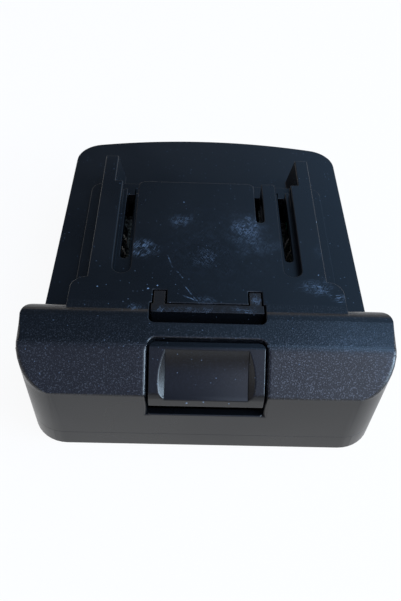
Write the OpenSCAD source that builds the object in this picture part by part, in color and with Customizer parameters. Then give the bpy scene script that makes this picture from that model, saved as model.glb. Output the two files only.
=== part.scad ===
// Slide-on battery adapter for a cordless tool, in millimetres.
// The rails and terminal slots on top go into the tool, and the battery slides
// into the socket underneath, from the rear. The front head holds a sprung
// release latch whose hook locks the adapter into the tool.
// X is to the right, Y to the rear and Z up, from the middle of the underside.

/* [Body] */
// Width across the deck at its rear corners
body_w = 82.5; // [80:0.5:87]
// Widening of each side of the deck from its rear corner to the head
side_taper = 0.5; // [0:0.1:1]
// Length from the front wall to the middle of the rear edge
body_l = 100; // [96:1:110]
// Depth of the deck below the platform
deck_drop = 8; // [7:0.1:8.5]
// Height of the parting line between the two housings
part_z = 5.5; // [4:0.1:6]
// Wall thickness of the mouldings
wall = 2.2; // [1.8:0.1:2.4]
// Radius of the bowed rear edge
rear_bow_r = 180; // [140:5:240]
// Radius of the two rear corners
rear_corner_r = 8.5; // [6:0.5:10]

/* [Head] */
// Width of the head at the platform's height
head_w = 90.6; // [89:0.1:96]
// Draft of each end of the head, from the platform's height down to the underside
head_draft = 0.7; // [0.3:0.1:1.2]
// Depth of the head from its front wall to its back
head_l = 21.5; // [21:0.1:22.5]
// Plan radius of the front corners
head_front_r = 9.5; // [8:0.5:11]
// Plan radius of the back corners
head_back_r = 5.5; // [4:0.1:6]
// Depth of the slope from the front wall to the bend
head_slope_l = 8.6; // [7.5:0.1:9]
// Height of the slope from the front wall to the bend
head_slope_h = 8.1; // [7:0.1:8.6]
// Depth of the bend at the top of the slope below the platform
bend_drop = 1.5; // [1.2:0.1:2]
// Rise of the back ridge's corner above the platform, before it is rounded
ridge_rise = 0.8; // [0.6:0.1:1]
// Radius of the back ridge
ridge_r = 3.5; // [3:0.1:4]
// Radius of the soft bend between the slope and the top
bend_r = 5; // [3:0.5:8]
// Radius of the edge between the slope and the front wall
brow_r = 0.9; // [0.6:0.1:1.4]

/* [Platform] */
// Height of the platform and the rails
top_z = 32; // [31.5:0.1:33]
// Width across the two rails
rail_span = 61; // [60:0.5:62]
// Width of a rail's top
rail_w = 6; // [5.5:0.1:6.5]
// Thickness of a rail's flange
flange_h = 3; // [2.5:0.1:3.2]
// Depth of the groove under a rail's flange
groove_d = 3.2; // [2.5:0.1:3.5]
// Length of the rails behind the head
rail_l = 58.5; // [56:0.5:62]
// Width of the rails' narrow tips
tip_w = 3.7; // [3.3:0.1:4.2]
// Length of the platform behind the head
platform_l = 46.7; // [45:0.1:50]
// Width of the ledge and the shoulder beside the rails
ledge_w = 69; // [67:0.5:72]
// Length of the ledge behind the head
ledge_l = 52.9; // [51:0.1:56]
// Height of the ledge above the deck
ledge_h = 2; // [1.5:0.1:2.5]
// Radius of the ledge's rear corners
ledge_r = 3.5; // [2:0.5:5]
// Length of the full-height shoulder behind the head
shoulder_l = 8; // [7.5:0.1:9.5]
// Radius of the shoulder's rear corners
shoulder_r = 4; // [2:0.5:5]
// Thickness of the platform's roof
roof_t = 2.4; // [2:0.1:2.6]

/* [Terminal slots] */
// Width of a terminal slot
slot_w = 4.7; // [4.4:0.1:5]
// Depth of a terminal slot
slot_d = 3; // [2.6:0.1:3.2]
// Distance from the head to the slots' round front ends
slot_start = 9.5; // [9:0.1:11]
// Thickness of the slots' floor
slot_floor_t = 2; // [1.6:0.1:2.2]
// Width of the slit in a slot's floor
slit_w = 2.2; // [1.8:0.1:2.6]
// Distance from the head to the front ends of the slits
slit_start = 17.8; // [17:0.1:18.5]
// Distance of the signal slot from the middle
signal_x = 14.75; // [14:0.05:15.5]
// Width of the signal slot
signal_w = 2.3; // [2:0.1:2.6]
// Length of the signal slot from the platform's rear edge
signal_l = 16.8; // [15:0.1:18]
// Radius of the centre panel's rear corners
panel_r = 2; // [1:0.1:2.5]

/* [Latch] */
// Width of the button
button_w = 27.6; // [26:0.2:28]
// Depth of the button's lower edge below the brow of the head
button_drop = 4.1; // [3.6:0.1:4.6]
// Depth of the button from the front wall to its rear edge
button_l = 10.3; // [10:0.1:10.6]
// Radius of the button's fold
button_fold_r = 3; // [2:0.5:4]
// Plan radius of the button's rear corners
button_corner_r = 1.6; // [1:0.1:2.5]
// Radius of the button's bend at the top of the slope
button_bend_r = 1.2; // [0.8:0.1:1.6]
// Gap between the button and the sides of its opening
button_gap = 0.4; // [0.3:0.05:0.5]
// Gap between the button and the rear edge of its opening
button_rear_gap = 0.9; // [0.7:0.1:1.2]
// Width of the chamfered rim of the button's opening
rim_w = 0.65; // [0.4:0.05:0.8]
// Width of the thumb dish's floor
dish_w = 19.8; // [18:0.1:21]
// Depth of the thumb dish below the line between its edges
dish_d = 1.1; // [0.8:0.1:1.4]
// Depth of the dish's lower edge below the brow of the head
dish_drop = 1.4; // [1:0.1:1.8]
// Distance of the dish's upper edge from the bend, down the slope
dish_start = 0.5; // [0.4:0.1:0.8]
// Travel of the latch when the button is pressed
latch_travel = 3.2; // [2.5:0.1:3.4]
// Room left under the button at the end of its travel
latch_stop = 0.6; // [0.5:0.1:0.8]
// Clearance of the latch in the housings
latch_gap = 0.3; // [0.3:0.05:0.4]
// Width of the hook's crossbar
hook_w = 27.8; // [26.5:0.1:28]
// Depth of the crossbar
hook_l = 2.6; // [2.2:0.1:2.8]
// Distance of the crossbar's back in front of the head's back
hook_back = 0.6; // [0.4:0.1:0.8]
// Open gap in front of the crossbar
hook_front_gap = 3.1; // [2.6:0.1:3.4]
// Radius of the front corners of the hook's opening
hook_corner_r = 1.5; // [0.8:0.1:2]
// Width of a prong
prong_w = 3; // [2.6:0.1:3.2]
// Length of a prong behind the crossbar
prong_l = 4.3; // [3.8:0.1:4.8]
// Height of a prong
prong_h = 3.5; // [3:0.1:3.8]
// Distance of a prong's middle from the middle of the part
prong_x = 11.9; // [11.4:0.1:12]
// Thickness of the latch's walls
latch_t = 1.6; // [1.4:0.1:1.8]
// Thickness of the bridge between the button and the hook
bridge_t = 2; // [1.8:0.1:2.4]

/* [Latch springs] */
// Outer diameter of a spring
spring_d = 6; // [5:0.1:6.4]
// Diameter of the spring wire
spring_wire = 0.7; // [0.5:0.05:0.8]
// Turns of a spring
spring_turns = 7; // [5:1:8]
// Length of a spring in its place
spring_l = 17.5; // [16:0.1:18.5]
// Distance of a spring from the middle
spring_x = 7; // [6:0.1:8]

/* [Battery socket] */
// Width of the socket
socket_w = 62; // [60:0.5:64]
// Height of the socket's ceiling
socket_h = 14; // [13:0.1:14.5]
// Distance from the head to the socket's closed end
socket_start = 8.2; // [8:0.1:9.5]
// Width between the socket's lips
lip_gap = 54; // [52:0.5:56]
// Thickness of the lips
lip_t = 3.5; // [3:0.1:4]
// Width of the catch slot in the socket's ceiling
catch_w = 18; // [14:0.5:22]
// Length of the catch slot
catch_l = 5; // [4:0.1:6]
// Distance of the catch slot from the rear edge
catch_back = 10; // [9:0.5:14]

/* [Terminals] */
// Distance of the main blades from the middle
blade_x = 21; // [20:0.1:21.5]
// Distance of the temperature blade from the middle
sense_x = 8; // [7.5:0.1:8.5]
// Thickness of a blade
blade_t = 1; // [0.8:0.1:1.2]
// Height of a blade
blade_h = 5; // [4.5:0.1:5.4]
// Height of a blade's lower edge
blade_z = 6; // [5.8:0.1:6.4]
// Reach of the blades into the socket
blade_l = 12; // [10:0.5:14]
// Thickness of the blade block's flange
block_t = 2.5; // [2:0.1:2.8]
// Length of the block's nose beside the outer blades
nose_side = 3; // [2.5:0.1:3.5]
// Height of the block's nose above and below the blades
nose_edge = 1; // [0.8:0.1:1.2]
// Length of the block's flange beside its nose
flange_side = 5; // [4.6:0.1:5.4]
// Reach of the block's nose into the socket
nose_l = 0.5; // [0.3:0.1:1]
// Length of the blades' solder tabs
tab_l = 4; // [3.8:0.1:4.4]
// Diameter of a main lead
lead_d = 3.2; // [2.8:0.1:3.4]
// Diameter of the temperature lead
sense_lead_d = 1.4; // [1.2:0.1:1.6]
// Length of the leads on the board
lead_reach = 5; // [4:0.1:6]

/* [Board and clips] */
// Thickness of the terminal board
board_t = 1.6; // [1.2:0.1:1.6]
// Width of the terminal board
board_w = 49.4; // [48:0.2:49.6]
// Length of the terminal board
board_l = 34; // [33:0.5:36]
// Room between the socket's ceiling and the board
board_gap = 1.8; // [1.7:0.1:2]
// Thickness of the clips' sheet metal
clip_t = 0.5; // [0.4:0.05:0.6]
// Gap at the waist of a pair of leaves
clip_waist = 0.8; // [0.6:0.1:1]
// Bow of a leaf, from its ends to its waist
leaf_bow = 1; // [0.8:0.1:1.1]
// Length of one leaf along the slot
leaf_l = 3.6; // [3:0.1:4]
// Distance between pairs of leaves
leaf_pitch = 5; // [4.4:0.1:5.2]
// Distance of the first leaves from the front end of the slit
leaf_start = 2.2; // [2:0.1:2.6]
// Wall thickness of the signal connector
carrier_t = 0.7; // [0.6:0.05:0.8]
// Gap between the signal connector and the ends of its slot
carrier_gap = 1.3; // [1:0.1:1.6]

/* [Screws] */
// Shank diameter of the housing screws
screw_d = 2.4; // [2:0.1:2.6]
// Head diameter of the housing screws
screw_head_d = 4.2; // [3.8:0.1:4.4]
// Height of the housing screws' heads
screw_head_h = 1.6; // [1.4:0.1:1.8]
// Length of the housing screws' shanks
screw_l = 14; // [12:0.5:14.5]
// Depth of the housing screws' seats above the underside
screw_sink = 2.4; // [2.2:0.1:2.8]
// Distance of the rear screws from the rear edge
screw_back = 16; // [14:0.5:18]
// Radius of the screw bosses
boss_r = 2.6; // [2.4:0.1:2.8]
// Shank diameter of the small screws inside
small_screw_d = 1.8; // [1.6:0.1:2]
// Head height of the small screws
small_head_h = 1; // [0.8:0.1:1.1]
// Length of the board screws above the board
board_screw_l = 4; // [3.5:0.1:4.5]
// Radius of the board's bosses
board_boss_r = 2.4; // [2.2:0.1:2.6]
// Distance of the board screws from the ends of the board
board_screw_end = 5; // [4.6:0.1:5.4]
// Distance of the board screws from the terminal slots
board_screw_side = 4.8; // [4.6:0.1:5.2]
// Radial clearance of a screw in its hole
screw_gap = 0.05; // [0.02:0.01:0.1]

/* [Hidden] */
$fn = 72;

// Extra length of a cut past the face that it opens
past = 1;
// Steps of a round corner, and of the long bow of the rear edge
arc_steps = 10;
bow_steps = 28;
// Gap between pieces that lie against each other without touching
seat_gap = 0.05;

front_y = -body_l / 2;
rear_y = body_l / 2;
head_back_y = front_y + head_l;
bend_y = front_y + head_slope_l;
slope_a = atan2(head_slope_h, head_slope_l);
head_bend_h = top_z - bend_drop;
head_wall_h = head_bend_h - head_slope_h;
head_ridge_h = top_z + ridge_rise;

deck_z = top_z - deck_drop;
ledge_z = deck_z + ledge_h;
flange_z = top_z - flange_h;
rail_out = rail_span / 2;
rail_in = rail_out - rail_w;
groove_x = rail_out - groove_d;
rail_tip_y = head_back_y + rail_l;
platform_y = head_back_y + platform_l;
ledge_y = head_back_y + ledge_l;
shoulder_y = head_back_y + shoulder_l;

slot_x = rail_in - slot_w / 2;
slot_in = rail_in - slot_w;
slot_y = head_back_y + slot_start;
slot_z = top_z - slot_d;
slit_y = head_back_y + slit_start;
signal_y = platform_y - signal_l;

ceiling_z = deck_z - wall;
roof_z = top_z - roof_t;
slot_ceiling_z = slot_z - slot_floor_t;
platform_inner_x = groove_x - wall;
inner_y = platform_y - wall;

button_z = head_wall_h - button_drop;
dish_z = head_wall_h - dish_drop;
opening_x = button_w / 2 + button_gap;
opening_z = button_z - latch_travel - latch_stop;
button_y = front_y + button_l;
opening_y = button_y + button_rear_gap;
hook_y = head_back_y - hook_back;
hook_front_y = hook_y - hook_l;
hook_open_x = hook_w / 2 + button_gap;
bridge_z = head_bend_h - wall - latch_gap;
dish_t = latch_t + 2 * dish_d;
cheek_z = opening_z - wall;

floor_t = wall;
spring_r = (spring_d - spring_wire) / 2;
spring_y = (button_y + hook_front_y) / 2;
spring_top = floor_t + spring_l;
pocket_r = spring_d / 2 + latch_gap;
pocket_z = spring_top - spring_l / 2;
post_r = spring_r - spring_wire / 2 - latch_gap;

socket_x = socket_w / 2;
socket_y = head_back_y + socket_start;
socket_top = socket_h + wall;
socket_out = socket_x + wall;
lip_x = lip_gap / 2;

board_z = socket_top + board_gap;
board_top = board_z + board_t;
board_y = inner_y - board_l;
clip_half = slot_w / 2 - clip_t / 2;
clip_z = board_top + clip_t;
clip_top = slot_ceiling_z - latch_gap;
leaf_mid = (clip_z + clip_top) / 2;
leaf_half = (clip_top - clip_z) / 2;
leaf_r = (leaf_half ^ 2 + leaf_bow ^ 2) / (2 * leaf_bow);
leaf_first = slit_y + leaf_start;
leaf_pairs = 3;

block_y = socket_y - wall;
nose_x = blade_x + nose_side;
nose_z = blade_z - nose_edge;
nose_top = blade_z + blade_h + nose_edge;
flange_x = nose_x + flange_side;
block_screw_x = (nose_x + flange_x) / 2;
block_mid = (nose_z + nose_top) / 2;
tab_y = block_y - block_t - tab_l;
tab_top = blade_z + blade_h / 2;
lead_y = tab_y + lead_d / 2 + latch_gap;
lead_end = board_y + lead_reach;
lead_bend = lead_d;

boss_split = part_z + boss_r;
screw_bore = screw_d / 2 + screw_gap;
screw_bore_l = screw_sink + screw_l + screw_gap;
screw_rear_x = (socket_out + body_w / 2 - wall) / 2;
screw_front_x = head_w / 2 - head_draft - wall - 1.6 * boss_r;
screw_spots = [[screw_rear_x, rear_y - screw_back], [screw_front_x, front_y + head_l / 2]];
board_screw_x = slot_in - board_screw_side;
board_spots = [[board_screw_x, board_y + board_screw_end], [-board_screw_x, board_y + board_screw_end],
    [0, inner_y - board_screw_end]];
small_bore = small_screw_d / 2 + screw_gap;
small_head_r = small_screw_d * 0.9;
board_bore_l = board_screw_l + screw_gap;

// Box between two opposite corners
module block(lo, hi) {
    translate(lo) cube(hi - lo);
}

// Carries a shape drawn in Y and Z along X
module along_x(x0, x1) {
    translate([x0, 0, 0]) rotate([90, 0, 90]) linear_extrude(x1 - x0) children();
}

// Carries a shape drawn in X and Z along Y
module along_y(y0, y1) {
    translate([0, y1, 0]) rotate([90, 0, 0]) linear_extrude(y1 - y0) children();
}

// Draws its children on both sides of the middle
module both_sides() {
    children();
    mirror([1, 0, 0]) children();
}

function unit(v) = v / norm(v);
function corner_turn(a, b, c) = acos(unit(a - b) * unit(c - b)) / 2;
function corner_centre(a, b, c, r) =
    b + unit(unit(a - b) + unit(c - b)) * r / sin(corner_turn(a, b, c));
function corner_end(a, b, c, r) = b + unit(a - b) * r / tan(corner_turn(a, b, c));
function heading(v) = atan2(v.y, v.x);
function short_turn(from, to) = ((to - from + 540) % 360) - 180;

// Points of an arc
function arc(centre, r, from, turn, steps) =
    [for (i = [0 : steps]) centre + r * [cos(from + turn * i / steps), sin(from + turn * i / steps)]];

// Points of an outline's corner b, rounded between its neighbours a and c
function soft_corner(a, b, c, r) =
    let (centre = corner_centre(a, b, c, r),
        from = heading(corner_end(a, b, c, r) - centre),
        to = heading(corner_end(c, b, a, r) - centre))
    arc(centre, r, from, short_turn(from, to), arc_steps);

// Outline with a radius at each of its corners, or none where the radius is 0
function soft_outline(points, radii) =
    let (n = len(points))
    [for (i = [0 : n - 1]) each radii[i] == 0 ? [points[i]]
        : soft_corner(points[(i + n - 1) % n], points[i], points[(i + 1) % n], radii[i])];

// Flat tongue with two round corners at its rear end
module tongue(half, y0, y1, r) {
    polygon(soft_outline([[-half, y0], [half, y0], [half, y1], [-half, y1]], [0, 0, r, r]));
}

// Plan of the body behind the head, with its bowed rear edge
module body_plan(inset) {
    half = body_w / 2 - inset;
    bow = rear_bow_r - inset;
    corner = rear_corner_r - inset;
    middle = rear_y - rear_bow_r;
    corner_x = half - corner;
    corner_y = middle + sqrt((bow - corner) ^ 2 - corner_x ^ 2);
    swing = atan2(corner_x, corner_y - middle);
    start = head_back_y - head_back_r;
    polygon(concat([[-half - side_taper, start], [half + side_taper, start]],
        arc([corner_x, corner_y], corner, 0, 90 - swing, arc_steps),
        arc([0, middle], bow, 90 - swing, 2 * swing, bow_steps),
        arc([-corner_x, corner_y], corner, 90 + swing, 90 - swing, arc_steps)));
}

// Solid between two outlines that have as many points, drawn from the first up to the second
module loft(low, high) {
    n = len(low);
    sides = [for (k = [0 : n - 1]) [k, n + k, n + (k + 1) % n, (k + 1) % n]];
    ends = [[for (k = [0 : n - 1]) k], [for (k = [0 : n - 1]) 2 * n - 1 - k]];
    polyhedron(points = concat(low, high), faces = concat(sides, ends));
}

// Plan of the head at the height z, with round corners and narrower towards the underside
function head_plan(inset, z) =
    let (half = head_w / 2 - head_draft * (1 - z / top_z) - inset,
        front = front_y + inset,
        back = head_back_y - inset,
        front_r = head_front_r - inset,
        back_r = head_back_r - inset)
    [for (p = soft_outline([[-half, front], [half, front], [half, back], [-half, back]],
        [front_r, front_r, back_r, back_r])) [p.x, p.y, z]];

// The head's plan carried up from one height to another
module head_block(inset, z0, z1) {
    loft(head_plan(inset, z0), head_plan(inset, z1));
}

// Side profile of the head: wall, slope, soft bend, top and round back ridge
module head_profile() {
    polygon(soft_outline([[front_y, 0], [front_y, head_wall_h], [bend_y, head_bend_h],
        [head_back_y, head_ridge_h], [head_back_y, 0]], [0, brow_r, bend_r, ridge_r, 0]));
}

// Side profile of the space inside the head
module head_space() {
    inner_front = front_y + wall;
    inner_brow = head_wall_h - wall * (1 / cos(slope_a) - tan(slope_a));
    inner_top = head_bend_h - wall;
    inner_bend = inner_front + (inner_top - inner_brow) / tan(slope_a);
    inner_back = head_back_y - wall;
    polygon(soft_outline([[inner_front, -past], [inner_front, inner_brow], [inner_bend, inner_top],
        [inner_back, head_ridge_h - wall], [inner_back, -past]], [0, 0, 0, ridge_r - wall, 0]));
}

// Outside of the head above the parting line
module head_solid() {
    intersection() {
        along_x(-head_w, head_w) head_profile();
        head_block(0, part_z, head_ridge_h);
    }
}

// Plan of a slot that is round at the front and open at the platform's rear edge
module slot_plan(x, y, w) {
    translate([x, y + w / 2]) circle(w / 2);
    translate([x - w / 2, y + w / 2]) square([w, platform_y + past - y - w / 2]);
}

// Piece outside a round corner that points to the right and the rear
module corner_waste(x, y, r) {
    translate([x - r, y - r]) difference() {
        square(r + past);
        circle(r);
    }
}

// Platform with the two rails, before it is hollowed
module platform_solid() {
    block([-groove_x, head_back_y, ceiling_z], [groove_x, platform_y, top_z]);
    block([-rail_out, head_back_y, flange_z], [rail_out, platform_y, top_z]);
    both_sides() along_y(platform_y - past, rail_tip_y) polygon([[rail_out, top_z],
        [rail_out - tip_w, top_z], [rail_in, ceiling_z], [groove_x, ceiling_z],
        [groove_x, flange_z], [rail_out, flange_z]]);
    translate([0, 0, ceiling_z]) linear_extrude(ledge_z - ceiling_z)
        tongue(ledge_w / 2, head_back_y, ledge_y, ledge_r);
    translate([0, 0, ceiling_z]) linear_extrude(top_z - ceiling_z)
        tongue(ledge_w / 2, head_back_y - ridge_r, shoulder_y, shoulder_r);
}

// Slots and slits cut into the platform from above
module platform_cuts() {
    between = slot_in - signal_x - signal_w / 2;
    translate([0, 0, slot_z]) linear_extrude(slot_d + past)
        both_sides() slot_plan(slot_x, slot_y, slot_w);
    translate([0, 0, ledge_z]) linear_extrude(top_z + past - ledge_z) {
        corner_waste(signal_x - signal_w / 2, platform_y, panel_r);
        mirror([1, 0, 0]) corner_waste(slot_in, platform_y, panel_r);
        corner_waste(slot_in, platform_y, between / 4);
    }
    translate([0, 0, ceiling_z]) linear_extrude(top_z + past - ceiling_z) {
        both_sides() slot_plan(slot_x, slit_y, slit_w);
        slot_plan(signal_x, signal_y, signal_w);
    }
}

// Hollow of the upper housing, open at the parting line
module upper_space() {
    intersection() {
        along_x(-head_w, head_w) head_space();
        head_block(wall, 0, head_ridge_h);
    }
    linear_extrude(ceiling_z) body_plan(wall);
    block([-platform_inner_x, head_back_y, 0], [platform_inner_x, inner_y, slot_ceiling_z]);
    block([wall - slot_in, head_back_y, 0], [slot_in - wall, inner_y, roof_z]);
    block([wall - ledge_w / 2, head_back_y, 0],
        [ledge_w / 2 - wall, min(shoulder_y, slot_y) - wall, roof_z]);
}

// Chamfer along an edge of the button's opening, between two points of the side profile
module rim_chamfer(from, to) {
    run = to - from;
    side = rim_w * sqrt(2);
    both_sides() translate([opening_x, from.x, from.y]) rotate([atan2(run.y, run.x), 0, 0])
        translate([0, norm(run) / 2, 0]) rotate([0, 45, 0])
            cube([side, norm(run) + rim_w, side], center = true);
}

// Openings in the head for the button and the hook
module latch_openings() {
    translate([0, 0, opening_z]) linear_extrude(top_z)
        tongue(opening_x, front_y - past, opening_y, button_corner_r + button_gap);
    rim_chamfer([front_y, opening_z], [front_y, head_wall_h]);
    rim_chamfer([front_y, head_wall_h], [bend_y, head_bend_h]);
    translate([0, 0, ceiling_z - past]) linear_extrude(top_z) mirror([0, 1, 0])
        tongue(hook_open_x, -hook_y - latch_gap, hook_front_gap - hook_front_y, hook_corner_r);
    both_sides() block([prong_x - prong_w / 2 - latch_gap, hook_y, ceiling_z - past],
        [prong_x + prong_w / 2 + latch_gap, hook_y + prong_l + latch_gap, top_z + past]);
}

// Boss with a blind hole, hanging from above down to the height z
module hanging_boss(spot, z, top, r, bore, bore_l) {
    translate([spot.x, spot.y, z]) difference() {
        cylinder(r = r, h = top - z);
        translate([0, 0, -past]) cylinder(r = bore, h = bore_l + past);
    }
}

// Cheeks inside the head that guide the latch on both sides
module latch_cheeks() {
    intersection() {
        both_sides() block([opening_x, front_y + wall / 2, cheek_z],
            [opening_x + latch_t, hook_front_y - hook_front_gap, top_z]);
        along_x(-head_w, head_w) difference() {
            translate([0, -wall / 2]) head_profile();
            translate([front_y - past, -past]) square([wall + past, opening_z + past]);
        }
    }
}

module upper_housing() {
    color("#1b2026") {
        difference() {
            union() {
                head_solid();
                translate([0, 0, part_z]) linear_extrude(deck_z - part_z) body_plan(0);
                platform_solid();
            }
            upper_space();
            platform_cuts();
            latch_openings();
            block([-socket_out - seat_gap, 0, 0],
                [socket_out + seat_gap, rear_y + past, socket_top + seat_gap]);
        }
        latch_cheeks();
        both_sides() hanging_boss(screw_spots[0], boss_split, ceiling_z + wall / 2, boss_r,
            screw_bore, screw_bore_l - boss_split);
        intersection() {
            along_x(-head_w, head_w) translate([0, -wall / 2]) head_profile();
            both_sides() hanging_boss(screw_spots[1], boss_split, top_z, boss_r, screw_bore,
                screw_bore_l - boss_split);
        }
        for (spot = board_spots) hanging_boss(spot, board_top, roof_z + roof_t / 2, board_boss_r,
            small_bore, board_bore_l);
    }
}

// Block of the whole body from one height to another
module whole_block(inset, z0, z1) {
    head_block(inset, z0, z1);
    translate([0, 0, z0]) linear_extrude(z1 - z0) body_plan(inset);
}

// Walls, ceiling, closed end and lips of the battery socket
module socket_solid() {
    difference() {
        block([-socket_out, block_y, 0], [socket_out, rear_y, socket_top]);
        block([-socket_x, socket_y, lip_t], [socket_x, rear_y + past, socket_h]);
        block([-lip_x, socket_y, -past], [lip_x, rear_y + past, socket_h]);
        block([-nose_x, block_y - past, nose_z], [nose_x, socket_y + past, nose_top]);
        block([-catch_w / 2, rear_y - catch_back - catch_l, socket_h - past],
            [catch_w / 2, rear_y - catch_back, socket_top + past]);
        both_sides() translate([block_screw_x, 0, block_mid]) rotate([-90, 0, 0])
            translate([0, 0, block_y - past]) cylinder(r = small_bore, h = wall + 2 * past);
    }
}

module lower_housing() {
    color("#191d22") difference() {
        union() {
            difference() {
                whole_block(0, 0, part_z);
                whole_block(wall, floor_t, part_z + past);
                block([-socket_out + wall / 2, block_y + wall / 2, -past],
                    [socket_out - wall / 2, rear_y + past, part_z + past]);
            }
            intersection() {
                socket_solid();
                translate([0, 0, -past]) linear_extrude(top_z) body_plan(0);
            }
            both_sides() {
                for (spot = screw_spots)
                    translate(spot) cylinder(r = boss_r, h = boss_split - seat_gap);
                translate([spring_x, spring_y, 0])
                    cylinder(r = post_r, h = floor_t + spring_l / 3);
            }
        }
        both_sides() for (spot = screw_spots) translate(spot) {
            translate([0, 0, -past]) cylinder(r = screw_bore, h = boss_split + 2 * past);
            translate([0, 0, -past]) cylinder(r = screw_head_d / 2 + latch_gap, h = screw_sink + past);
        }
    }
}

// Side profile of the button, flush with the head around it
module button_profile() {
    polygon(soft_outline([[front_y, button_z], [front_y, head_wall_h], [bend_y, head_bend_h],
        [button_y, head_bend_h], [button_y, button_z]], [0, button_fold_r, button_bend_r, 0, 0]));
}

// Thumb dish: a shallow round trough across the button's fold, whose ends rise from its floor
module dish_cut() {
    upper = [bend_y - dish_start * cos(slope_a), head_bend_h - dish_start * sin(slope_a)];
    lower = [front_y, dish_z];
    chord = upper - lower;
    half = norm(chord) / 2;
    trough_r = (half ^ 2 + dish_d ^ 2) / (2 * dish_d);
    swing = asin(half / trough_r);
    side = 3 * dish_d;
    trough = concat(arc([half, trough_r - dish_d], trough_r, -90 - swing, 2 * swing, arc_steps),
        [[2 * half + side, side], [-side, side]]);
    function ring(x, rise) = [for (p = trough) [x, p.x, p.y + rise]];
    translate([0, lower.x, lower.y]) rotate([atan2(chord.y, chord.x), 0, 0]) {
        loft(ring(-dish_w / 2, 0), ring(dish_w / 2, 0));
        both_sides() loft(ring(dish_w / 2 - seat_gap, 0), ring(dish_w / 2 + side, side));
    }
}

module release_latch() {
    color("#14181d") difference() {
        union() {
            intersection() {
                along_x(-button_w / 2, button_w / 2) button_profile();
                linear_extrude(top_z) tongue(button_w / 2, front_y, button_y, button_corner_r);
            }
            block([-button_w / 2, button_y - latch_t, bridge_z - bridge_t],
                [button_w / 2, hook_y, bridge_z]);
            block([-hook_w / 2, hook_front_y, bridge_z - bridge_t], [hook_w / 2, hook_y, top_z]);
            both_sides() {
                block([prong_x - prong_w / 2, hook_front_y, top_z - prong_h],
                    [prong_x + prong_w / 2, hook_y + prong_l, top_z]);
                translate([spring_x, spring_y, pocket_z])
                    cylinder(r = pocket_r + latch_t, h = bridge_z - pocket_z);
            }
        }
        along_x(latch_t - button_w / 2, button_w / 2 - latch_t) intersection() {
            translate([dish_t * sin(slope_a), -dish_t * cos(slope_a)]) button_profile();
            translate([front_y, 0]) square([button_l - latch_t, top_z]);
        }
        dish_cut();
        both_sides() translate([spring_x, spring_y, pocket_z - past])
            cylinder(r = pocket_r, h = spring_top + seat_gap - pocket_z + past);
    }
}

// Points of a spring's wire: rings of six along a rising helix
rings_per_turn = 8;
wire_sides = 6;
spring_rise = (spring_l - spring_wire - 2 * seat_gap) / spring_turns;
ring_count = rings_per_turn * spring_turns;
climb = spring_rise / (2 * PI * spring_r);
lean = atan(climb);
function wire_centre(i) = let (t = 360 * i / rings_per_turn)
    [spring_r * cos(t), spring_r * sin(t), spring_rise * i / rings_per_turn];
function wire_point(i, k) =
    let (t = 360 * i / rings_per_turn, a = 360 * k / wire_sides, r = spring_wire / 2)
    wire_centre(i) + r * cos(a) * [cos(t), sin(t), 0]
        + r * sin(a) * [sin(lean) * sin(t), -sin(lean) * cos(t), cos(lean)];
wire_gaps = [for (i = [0 : ring_count - rings_per_turn])
    norm(wire_centre(i + rings_per_turn) - wire_centre(i)) - spring_wire];
echo(least_gap_between_turns = min(wire_gaps));

// Compression spring as one unbroken tube
module latch_spring(side) {
    points = [for (i = [0 : ring_count], k = [0 : wire_sides - 1]) wire_point(i, k)];
    skin = [for (i = [0 : ring_count - 1], k = [0 : wire_sides - 1])
        let (a = i * wire_sides, n = (k + 1) % wire_sides)
        each [[a + k, a + n, a + wire_sides + k], [a + n, a + wire_sides + n, a + wire_sides + k]]];
    last = ring_count * wire_sides;
    ends = [for (k = [1 : wire_sides - 2]) each [[0, k + 1, k], [last, last + k, last + k + 1]]];
    color("#b9bcc0") translate([side * spring_x, spring_y, floor_t + spring_wire / 2 + seat_gap])
        polyhedron(points = points, faces = concat(skin, ends));
}

module left_latch_spring() {
    latch_spring(-1);
}

module right_latch_spring() {
    latch_spring(1);
}

module terminal_board() {
    color("#1f5136") difference() {
        block([-board_w / 2, board_y, board_z], [board_w / 2, inner_y, board_top]);
        for (spot = board_spots) translate([spot.x, spot.y, board_z - past])
            cylinder(r = small_bore, h = board_t + 2 * past);
    }
}

module board_screws() {
    color("#b9bcc0") for (spot = board_spots) translate([spot.x, spot.y, board_z]) {
        translate([0, 0, -small_head_h]) cylinder(r = small_head_r, h = small_head_h);
        cylinder(r = small_screw_d / 2, h = board_t + board_screw_l);
    }
}

// Bowed leaf of a clip, on the right of the slot's middle
module leaf_outline() {
    intersection() {
        translate([clip_waist / 2 + leaf_r, leaf_mid]) difference() {
            circle(leaf_r);
            circle(leaf_r - clip_t);
        }
        translate([0, board_top]) square([leaf_r, clip_top - board_top]);
    }
}

// Terminal clip: a base strip on the board and pairs of bowed leaves
module terminal_clip(side) {
    color("#c9a66b") translate([side * slot_x, 0, 0]) {
        block([-clip_half, board_y + seat_gap, board_top], [clip_half, inner_y - seat_gap, clip_z]);
        both_sides() for (i = [0 : leaf_pairs - 1])
            along_y(leaf_first + i * leaf_pitch, leaf_first + i * leaf_pitch + leaf_l)
                leaf_outline();
    }
}

module positive_clip() {
    terminal_clip(-1);
}

module negative_clip() {
    terminal_clip(1);
}

// Carrier of the two signal contacts, below the signal slot
carrier_half = signal_w / 2 + carrier_t;
carrier_end = inner_y - carrier_gap;
carrier_start = signal_y + carrier_gap;
module signal_connector() {
    color("#2a2c2e") difference() {
        block([signal_x - carrier_half, carrier_start, board_top],
            [signal_x + carrier_half, carrier_end, clip_top]);
        block([signal_x - signal_w / 2, carrier_start + carrier_t, board_top + carrier_t],
            [signal_x + signal_w / 2, carrier_end + past, clip_top + past]);
    }
}

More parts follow.
